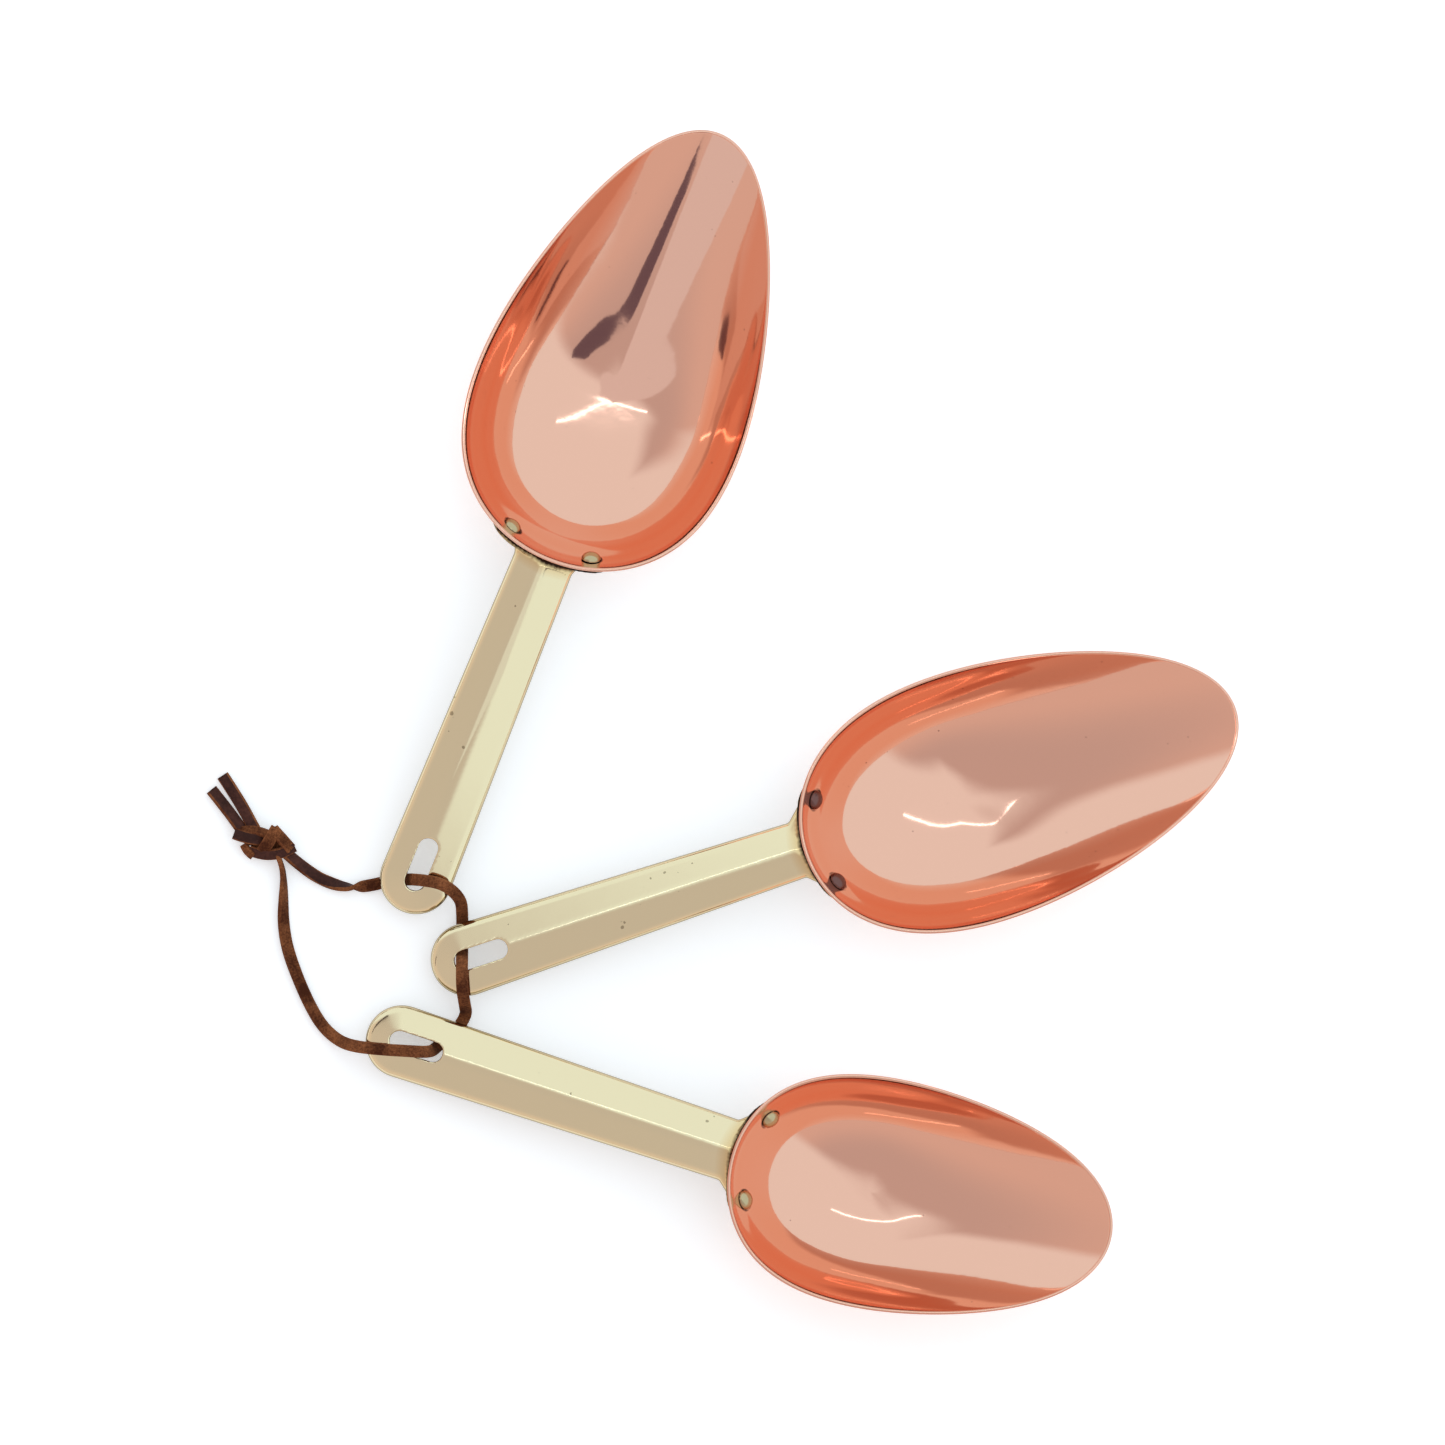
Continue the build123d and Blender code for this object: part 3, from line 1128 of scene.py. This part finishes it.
@dataclass
class Tent:
    """White cloth dome over the table, lit from behind, sizes in millimetres.

    The lamps outside reach the north side, and the part of the roof that lies east of one line
    and north-east of another. The rest stays dimmer, and warmer low down, where it faces the
    metal and the table. Each edge has a blur, which is half the width of its fading.
    """

    radius: float = 620.0
    side_south: float = 190.0
    side_blur: float = 60.0
    roof_west: float = -285.0
    roof_west_blur: float = 70.0
    roof_direction: Place = (0.643, 0.766, 0.0)
    roof_edge: float = -160.0
    roof_edge_blur: float = 45.0
    low_top: float = 360.0
    low_blur: float = 160.0
    lit: str = "#e6f6ff"
    unlit: str = "#c2c0c4"
    unlit_low: str = "#d6cdcb"
    strength: float = 1.06
    segments: int = 64
    lowest_rise: float = -0.02
    opening: float = 0.01

    def material(self) -> bpy.types.Material:
        """Build the cloth's material: it glows by how much light reaches it from behind.

        Returns:
            The finished node material.
        """
        made = new_material("lit tent cloth", empty=True)
        tree = made.node_tree
        place = own_place(tree)
        split = add_node(tree, "ShaderNodeSeparateXYZ", inputs={"Vector": place})
        across = add_node(
            tree,
            "ShaderNodeVectorMath",
            {"operation": "DOT_PRODUCT"},
            {0: place, 1: self.roof_direction},
        )
        east = smooth_step(tree, split.outputs["X"], self.roof_west, self.roof_west_blur)
        near = smooth_step(tree, across.outputs["Value"], self.roof_edge, self.roof_edge_blur)
        side = smooth_step(tree, split.outputs["Y"], self.side_south, self.side_blur)
        reached = calculate(tree, "MAXIMUM", calculate(tree, "MULTIPLY", east, near), side)
        height = smooth_step(tree, split.outputs["Z"], self.low_top, self.low_blur)
        dim = blend(tree, height, linear(self.unlit_low), linear(self.unlit))
        colour = blend(tree, reached, dim, linear(self.lit))
        glow = add_node(
            tree, "ShaderNodeEmission", inputs={"Color": colour, "Strength": self.strength}
        )
        add_node(tree, "ShaderNodeOutputMaterial", inputs={"Surface": glow.outputs["Emission"]})
        return made

    def build(self) -> None:
        """Set the tent up over the table."""
        turn = np.linspace(0, 2 * math.pi, self.segments, endpoint=False)
        rings = []
        for rise in np.linspace(self.lowest_rise, math.pi / 2 - self.opening, self.segments // 3):
            level, height = math.cos(rise), np.full_like(turn, math.sin(rise))
            rings.append(np.stack([np.cos(turn) * level, np.sin(turn) * level, height], axis=1))
        faces = strip_faces(len(rings), self.segments)
        top = (len(rings) - 1) * self.segments
        faces.append(tuple(range(top, top + self.segments)))
        tent = new_mesh_object("light_tent", np.concatenate(rings) * self.radius * MM, faces)
        tent.data.materials.append(self.material())
        hide_from_camera(tent)


@dataclass(frozen=True)
class Flag:
    """Card that shapes what the metal mirrors, with its corners in millimetres.

    Its front, the side from which the corners run anticlockwise, shows one even shade. Its back
    is clear, so a scoop behind the card mirrors the studio as if the card weren't there.
    """

    name: str
    corners: tuple[Place, ...]
    shade: str

    def build(self) -> None:
        """Hang the card."""
        points = np.array(self.corners) * MM
        card = new_mesh_object(self.name, points, [tuple(range(len(points)))])
        card.data.materials.append(self.material())
        card.visible_diffuse = False
        hide_from_camera(card)

    def material(self) -> bpy.types.Material:
        """Build the card's material: one even shade in front, clear behind.

        Returns:
            The finished node material.
        """
        made = new_material(self.name, empty=True)
        tree = made.node_tree
        side = add_node(tree, "ShaderNodeNewGeometry").outputs["Backfacing"]
        front = add_node(
            tree, "ShaderNodeEmission", inputs={"Color": linear(self.shade), "Strength": 1.0}
        )
        clear = add_node(tree, "ShaderNodeBsdfTransparent")
        both = add_node(
            tree,
            "ShaderNodeMixShader",
            inputs={"Fac": side, 1: front.outputs["Emission"], 2: clear.outputs["BSDF"]},
        )
        add_node(tree, "ShaderNodeOutputMaterial", inputs={"Surface": both.outputs["Shader"]})
        return made


@dataclass
class Studio:
    """White table, soft light from above, and a camera that looks straight down."""

    view_width_mm: float = 438.7
    view_centre_mm: tuple[float, float] = (-23.4, -0.15)
    camera_height_mm: float = 1500.0
    surround: float = 0.9
    table_half_mm: float = 1500.0
    table_colour: str = "#f4f4f4"
    table_glow: float = 0.42
    lamp_length_mm: float = 330.0
    lamp_width_mm: float = 8.0
    lamp_place_mm: Place = (-70.0, -5.0, 540.0)
    lamp_turn: float = -9.0
    lamp_brightness: float = 2.9
    lamp_colour: str = "#e4f2ff"
    tent: Tent = field(default_factory=Tent)
    flags: tuple[Flag, ...] = (
        # Dark streak that runs down the far wall of the large bowl
        Flag(
            "tall_flag",
            (
                (-60, 16, 98),
                (-47, 9, 146),
                (-43, 10, 146),
                (-27, 19, 115),
                (-30, 22, 98),
                (-46, 22, 86),
            ),
            shade="#6b6272",
        ),
        # Dark curved lines on the ends of the handles
        Flag(
            "low_flag",
            ((-164, -85, 36), (-140, -71, 36), (-140, -71, 42), (-164, -85, 42)),
            shade="#3a2c28",
        ),
        # Bright west side, which the large bowl alone faces
        Flag(
            "pale_card",
            (
                (-75, -8, 80),
                (-490, -138, 80),
                (-490, -138, 340),
                (-361, -98, 480),
                (-250, -63, 555),
                (-75, -8, 590),
            ),
            shade="#dde5ee",
        ),
    )

    def set_camera(self) -> None:
        """Place the camera, with parallel rays as from far away."""
        data = bpy.data.cameras.new("camera")
        data.type = "ORTHO"
        data.ortho_scale = self.view_width_mm * MM
        camera = new_object("camera", data)
        x, y = self.view_centre_mm
        camera.location = (x * MM, y * MM, self.camera_height_mm * MM)
        bpy.context.scene.camera = camera

    def set_world(self) -> None:
        """Make the white surroundings, which the camera and the polished metal see as white."""
        world = bpy.data.worlds.new("studio")
        world.use_nodes = True
        bpy.context.scene.world = world
        tree = world.node_tree
        tree.nodes.clear()
        light, white = (
            add_node(tree, "ShaderNodeBackground", inputs={"Color": WHITE, "Strength": strength})
            for strength in (self.surround, 1.0)
        )
        mixed = add_node(
            tree,
            "ShaderNodeMixShader",
            inputs={
                "Fac": self.seen_directly(tree),
                1: light.outputs["Background"],
                2: white.outputs["Background"],
            },
        )
        add_node(tree, "ShaderNodeOutputWorld", inputs={"Surface": mixed.outputs["Shader"]})

    @staticmethod
    def seen_directly(tree: Tree) -> Socket:
        """Value that is 1 for what is seen directly, in polished metal or through glass."""
        rays = add_node(tree, "ShaderNodeLightPath")
        seen = rays.outputs["Is Camera Ray"]
        for kind in ("Is Glossy Ray", "Is Transmission Ray"):
            seen = calculate(tree, "MAXIMUM", seen, rays.outputs[kind])
        return seen

    def set_floor(self) -> None:
        """Lay the white table top."""
        half = self.table_half_mm * MM
        corners = np.array([(-half, -half, 0), (half, -half, 0), (half, half, 0), (-half, half, 0)])
        floor = new_mesh_object("table_top", corners, [(0, 1, 2, 3)])
        paint = new_material("white table")
        tree = paint.node_tree
        shader = tree.nodes["Principled BSDF"]
        shader.inputs["Base Color"].default_value = linear(self.table_colour)
        shader.inputs["Roughness"].default_value = 1.0
        shader.inputs["Specular IOR Level"].default_value = 0.0
        shader.inputs["Emission Color"].default_value = WHITE
        glow = calculate(tree, "MULTIPLY", self.seen_directly(tree), self.table_glow)
        tree.links.new(glow, shader.inputs["Emission Strength"])
        floor.data.materials.append(paint)

    def set_lamp(self) -> None:
        """Hang the soft lamp over the table."""
        data = bpy.data.lights.new("soft_box", "AREA")
        data.shape = "RECTANGLE"
        data.size = self.lamp_length_mm * MM
        data.size_y = self.lamp_width_mm * MM
        data.energy = self.lamp_brightness * math.pi * data.size * data.size_y
        data.color = linear(self.lamp_colour)[:3]
        lamp = new_object("soft_box", data)
        lamp.location = Vector(self.lamp_place_mm) * MM
        lamp.rotation_euler = (0, 0, math.radians(self.lamp_turn))
        lamp.visible_camera = False

    def build(self) -> None:
        """Build the whole studio."""
        self.set_camera()
        self.set_world()
        self.set_floor()
        self.set_lamp()
        self.tent.build()
        for flag in self.flags:
            flag.build()
        bpy.context.scene.view_settings.view_transform = "Standard"


SCOOPS = (
    Scoop(
        "large",
        Bowl(
            length=140.6,
            middle_half_width=40.3,
            egg=0.310,
            bluntness=0.105,
            depth=31.0,
            deepest_at=49.0,
            rear_curve=(4.2, 0.70),
            side_curve=(3.0, 0.72),
            belly=0.08,
        ),
        heading=68.0,
        pitch=5.40,
        rivets=Finish.OLD_BRASS,
    ),
    Scoop(
        "medium",
        Bowl(
            length=138.5,
            middle_half_width=37.8,
            egg=0.206,
            bluntness=0.086,
            depth=28.0,
            deepest_at=46.0,
            rear_curve=(3.4, 0.78),
            side_curve=(3.0, 0.74),
        ),
        heading=18.6,
        pitch=4.33,
        rivets=Finish.DARK_COPPER,
    ),
    Scoop(
        "small",
        Bowl(
            length=118.4,
            middle_half_width=34.6,
            egg=0.186,
            bluntness=0.143,
            depth=26.0,
            deepest_at=42.0,
            rear_curve=(3.0, 0.82),
            side_curve=(2.9, 0.76),
        ),
        heading=-10.4,
        pitch=3.82,
        rivets=Finish.OLD_BRASS,
    ),
)


def main() -> None:
    """Build the studio, the scoops and the lace."""
    logging.basicConfig(level=logging.INFO, format="%(name)s: %(message)s")
    Studio().build()
    Lace().build()
    for scoop in SCOOPS:
        scoop.build()


if __name__ == "__main__":
    main()
